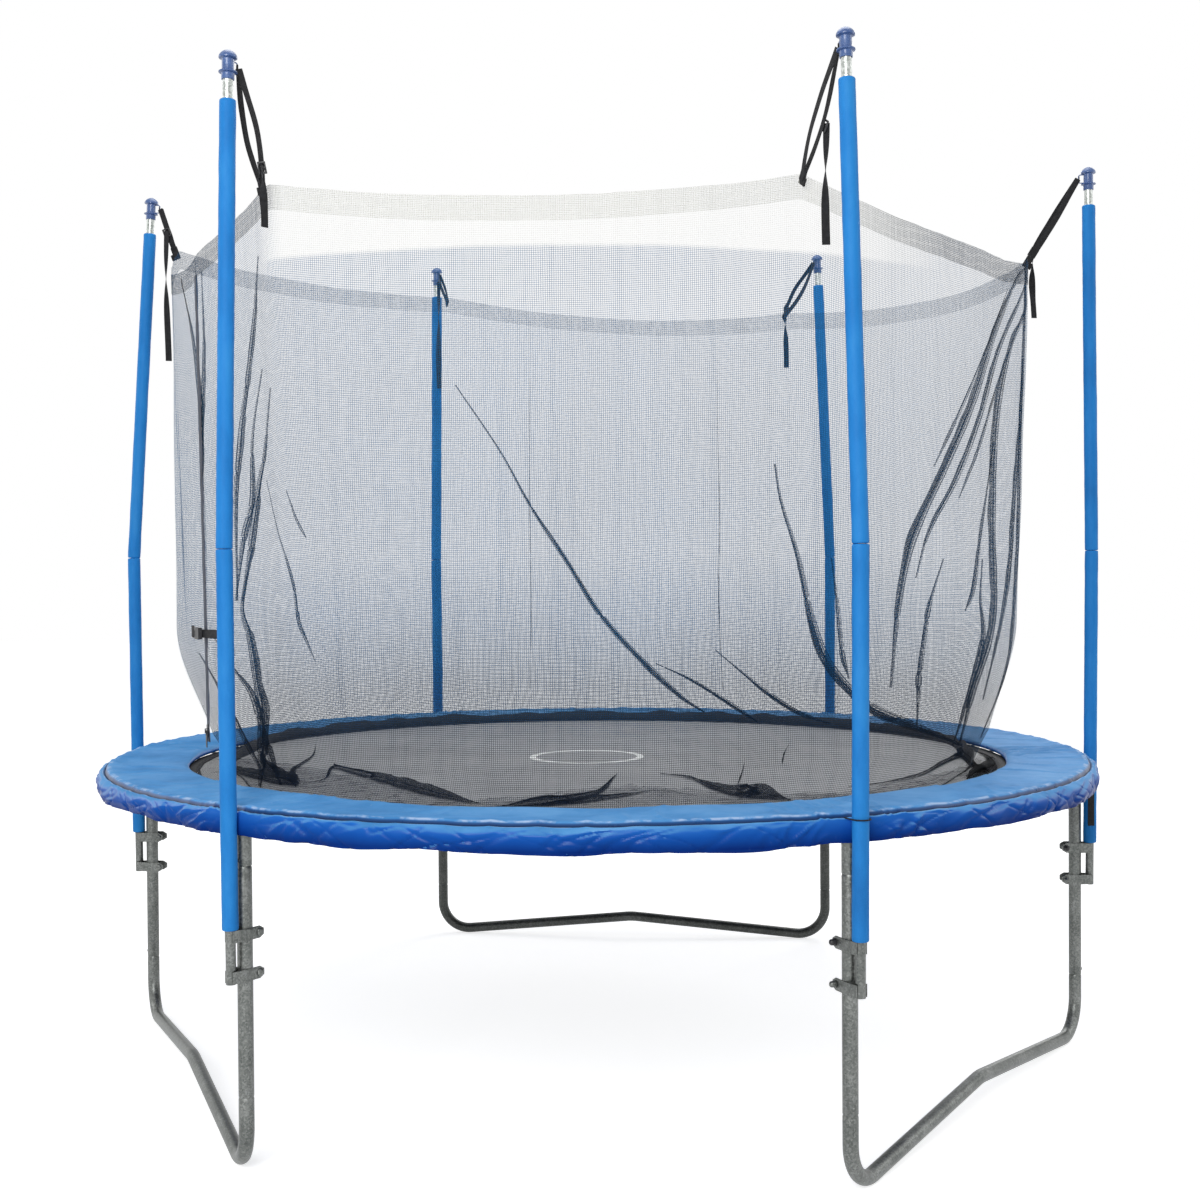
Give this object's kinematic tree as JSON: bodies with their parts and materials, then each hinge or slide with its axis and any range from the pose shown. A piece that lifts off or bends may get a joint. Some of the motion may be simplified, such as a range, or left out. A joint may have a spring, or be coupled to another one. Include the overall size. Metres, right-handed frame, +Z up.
{
  "type": "trampoline with safety net",
  "caption": "Round garden trampoline on W-shaped steel legs, with a padded spring cover, foam-wrapped net poles and a zipped safety net enclosure.",
  "frame": {"origin": "middle of the ring frame, on the ground plane", "axes": "+Z up; the picture's viewpoint is on the -Y side; +X to the right as seen from there, through two of the six poles"},
  "size_m": [3.1566, 3.0978, 2.7281],
  "materials": {
    "galvanised_steel": "zinc-coated tube and wire with a faint mottled spangle",
    "blue_foam": "closed-cell foam in a slightly wrinkled satin blue skin",
    "blue_plastic": "moulded blue plastic",
    "black_plastic": "moulded black plastic",
    "mat_fabric": "tight black woven polypropylene that looks grey at a low angle, with one printed white ring",
    "black_webbing": "woven black polypropylene webbing and cord",
    "pad_vinyl": "glossy wrinkled blue coated cover over foam",
    "net_mesh": "fine pale see-through mesh with a denser hem",
    "zip_tape": "pale blue zip tape with fine teeth",
    "zip_metal": "plated zip metal"
  },
  "bodies": {
    "frame": {"rail_left": "galvanised_steel", "leg_extension_left": "galvanised_steel", "pole_lower_left": "galvanised_steel", "pole_upper_left": "galvanised_steel", "foam_lower_left": "blue_foam", "foam_upper_left": "blue_foam", "rail_front_left": "galvanised_steel", "leg_extension_front_left": "galvanised_steel", "pole_lower_front_left": "galvanised_steel", "pole_upper_front_left": "galvanised_steel", "foam_lower_front_left": "blue_foam", "foam_upper_front_left": "blue_foam", "rail_front_right": "galvanised_steel", "leg_extension_front_right": "galvanised_steel", "pole_lower_front_right": "galvanised_steel", "pole_upper_front_right": "galvanised_steel", "foam_lower_front_right": "blue_foam", "foam_upper_front_right": "blue_foam", "rail_right": "galvanised_steel", "leg_extension_right": "galvanised_steel", "pole_lower_right": "galvanised_steel", "pole_upper_right": "galvanised_steel", "foam_lower_right": "blue_foam", "foam_upper_right": "blue_foam", "rail_back_right": "galvanised_steel", "leg_extension_back_right": "galvanised_steel", "pole_lower_back_right": "galvanised_steel", "pole_upper_back_right": "galvanised_steel", "foam_lower_back_right": "blue_foam", "foam_upper_back_right": "blue_foam", "rail_back_left": "galvanised_steel", "leg_extension_back_left": "galvanised_steel", "pole_lower_back_left": "galvanised_steel", "pole_upper_back_left": "galvanised_steel", "foam_lower_back_left": "blue_foam", "foam_upper_back_left": "blue_foam", "leg_base_left": "galvanised_steel", "leg_base_right": "galvanised_steel", "leg_base_back": "galvanised_steel", "pole_caps": "blue_plastic", "clamp_halves": "galvanised_steel", "clamp_bolts": "galvanised_steel", "cap_nuts": "black_plastic", "springs": "galvanised_steel", "spring_pad": "pad_vinyl", "pad_ties": "black_webbing", "safety_net": "net_mesh", "net_straps": "black_webbing", "strap_tails": "black_webbing", "strap_buckles": "black_plastic", "door_zip": "zip_tape", "door_clip_socket": "black_plastic", "door_clip_straps": "black_webbing"},
    "bed": {"jumping_mat": "mat_fabric", "mat_hem": "black_webbing", "mat_rings": "galvanised_steel"},
    "slider": {"zip_slider": "zip_metal"},
    "pull": {"zip_pull": "zip_metal"},
    "clip": {"door_clip_tongue": "black_plastic"}
  },
  "joints": [
    {"name": "mat_bounce", "type": "slide", "parent": "frame", "child": "bed", "axis": [0, 0, 1], "range_m": [-0.25, 0], "stiffness_N_per_m": 5000, "springref_m": 0.04, "deforming": ["springs"]},
    {"name": "zip_slide", "type": "slide", "parent": "frame", "child": "slider", "axis": [-0.0143, -0.0121, 0.9998], "range_m": [0, 1.2182]},
    {"name": "pull_swing", "type": "hinge", "parent": "slider", "child": "pull", "pos_m": [-0.99373, -0.8436, 1.04085], "axis": [-0.5595, 0.8288, 0.0021], "range_deg": [0, 150]},
    {"name": "clip_release", "type": "slide", "parent": "frame", "child": "clip", "axis": [0.5595, -0.8288, -0.0021], "range_m": [0, 0.026]}
  ]
}
